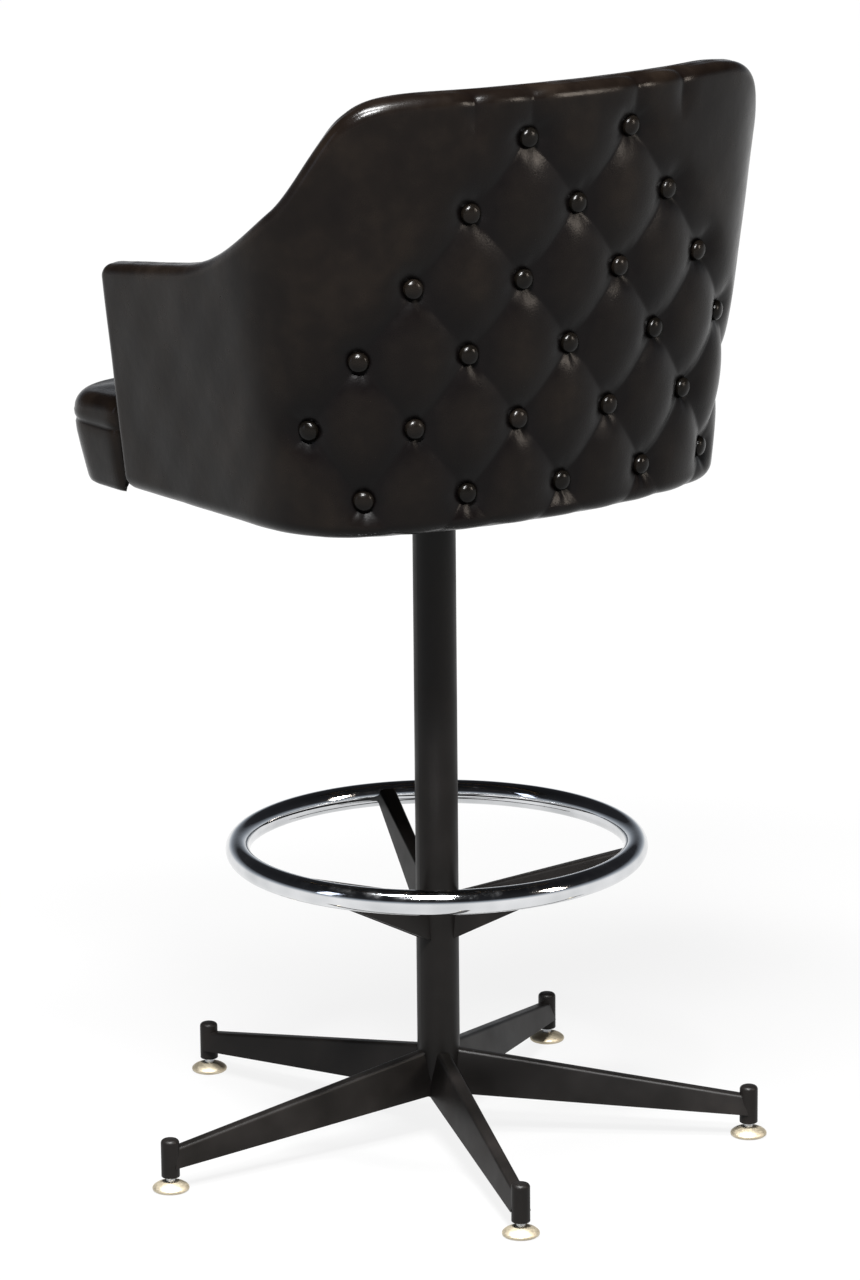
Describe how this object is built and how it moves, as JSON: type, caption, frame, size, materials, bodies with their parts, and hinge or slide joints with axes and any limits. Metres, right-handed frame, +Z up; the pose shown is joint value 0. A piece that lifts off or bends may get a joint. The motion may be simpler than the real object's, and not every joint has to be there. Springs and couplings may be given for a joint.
{
  "type": "bar stool",
  "caption": "Swivel bar stool: button-tufted brown vinyl bucket seat with a nosed cushion on a black steel pedestal with spread legs, chromed foot ring and levelling glides.",
  "frame": {"origin": "on the floor, on the column's axis", "axes": "+Z up along the column, -Y the way the sitter faces, X across the seat"},
  "size_m": [0.6403, 0.6529, 1.136],
  "materials": {
    "black_powder_coat": "satin black powder coat",
    "chrome": "polished chrome plate",
    "nickel": "bright nickel plate",
    "zinc_steel": "bright zinc plate",
    "black_steel": "black paint",
    "spring_steel": "oiled spring steel",
    "nylon": "natural nylon",
    "plywood": "raw plywood",
    "brown_vinyl": "upholstery vinyl, low sheen, leather grain",
    "dust_cloth": "thin non-woven cloth"
  },
  "bodies": {
    "base": {"column_tube": "black_powder_coat", "leg_1": "black_powder_coat", "leg_2": "black_powder_coat", "leg_3": "black_powder_coat", "leg_4": "black_powder_coat", "leg_5": "black_powder_coat", "glide_sockets": "black_powder_coat", "footrest_ring": "chrome", "footrest_strut_1": "black_powder_coat", "footrest_strut_2": "black_powder_coat", "footrest_strut_3": "black_powder_coat", "swivel_sleeve": "nylon"},
    "seat": {"seat_plate": "black_steel", "swivel_spindle": "black_steel", "retaining_clip": "spring_steel", "seat_board": "plywood", "plate_screws": "zinc_steel", "seat_cushion": "brown_vinyl", "seat_shell": "plywood", "shell_dowels": "plywood", "outer_cover": "brown_vinyl", "inner_pad": "brown_vinyl", "tuft_buttons": "brown_vinyl", "bottom_cover": "dust_cloth"},
    "glide_1": {"glide_cup_1": "nickel"},
    "stem_1": {"glide_stem_1": "zinc_steel"},
    "glide_2": {"glide_cup_2": "nickel"},
    "stem_2": {"glide_stem_2": "zinc_steel"},
    "glide_3": {"glide_cup_3": "nickel"},
    "stem_3": {"glide_stem_3": "zinc_steel"},
    "glide_4": {"glide_cup_4": "nickel"},
    "stem_4": {"glide_stem_4": "zinc_steel"},
    "glide_5": {"glide_cup_5": "nickel"},
    "stem_5": {"glide_stem_5": "zinc_steel"}
  },
  "joints": [
    {"name": "seat_swivel", "type": "hinge", "parent": "base", "child": "seat", "pos_m": [0, 0, 0.69], "axis": [0, 0, 1], "continuous": true},
    {"name": "glide_height_1", "type": "slide", "parent": "base", "child": "glide_1", "axis": [0, 0, 1], "range_m": [-0.012, 0.004]},
    {"name": "stem_turn_1", "type": "hinge", "parent": "glide_1", "child": "stem_1", "pos_m": [0.32332, -0.02091, 0.005], "axis": [0, 0, 1], "range_deg": [-2835, 1020]},
    {"name": "glide_height_2", "type": "slide", "parent": "base", "child": "glide_2", "axis": [0, 0, 1], "range_m": [-0.012, 0.004]},
    {"name": "stem_turn_2", "type": "hinge", "parent": "glide_2", "child": "stem_2", "pos_m": [0.1198, 0.30104, 0.005], "axis": [0, 0, 1], "range_deg": [-2835, 1020]},
    {"name": "glide_height_3", "type": "slide", "parent": "base", "child": "glide_3", "axis": [0, 0, 1], "range_m": [-0.012, 0.004]},
    {"name": "stem_turn_3", "type": "hinge", "parent": "glide_3", "child": "stem_3", "pos_m": [-0.24929, 0.20696, 0.005], "axis": [0, 0, 1], "range_deg": [-2835, 1020]},
    {"name": "glide_height_4", "type": "slide", "parent": "base", "child": "glide_4", "axis": [0, 0, 1], "range_m": [-0.012, 0.004]},
    {"name": "stem_turn_4", "type": "hinge", "parent": "glide_4", "child": "stem_4", "pos_m": [-0.27387, -0.17313, 0.005], "axis": [0, 0, 1], "range_deg": [-2835, 1020]},
    {"name": "glide_height_5", "type": "slide", "parent": "base", "child": "glide_5", "axis": [0, 0, 1], "range_m": [-0.012, 0.004]},
    {"name": "stem_turn_5", "type": "hinge", "parent": "glide_5", "child": "stem_5", "pos_m": [0.08003, -0.31396, 0.005], "axis": [0, 0, 1], "range_deg": [-2835, 1020]}
  ],
  "couplings": [
    {"joint": "stem_turn_1", "follows": "glide_height_1", "rad_per_m": 3957.9},
    {"joint": "stem_turn_2", "follows": "glide_height_2", "rad_per_m": 3957.9},
    {"joint": "stem_turn_3", "follows": "glide_height_3", "rad_per_m": 3957.9},
    {"joint": "stem_turn_4", "follows": "glide_height_4", "rad_per_m": 3957.9},
    {"joint": "stem_turn_5", "follows": "glide_height_5", "rad_per_m": 3957.9}
  ]
}
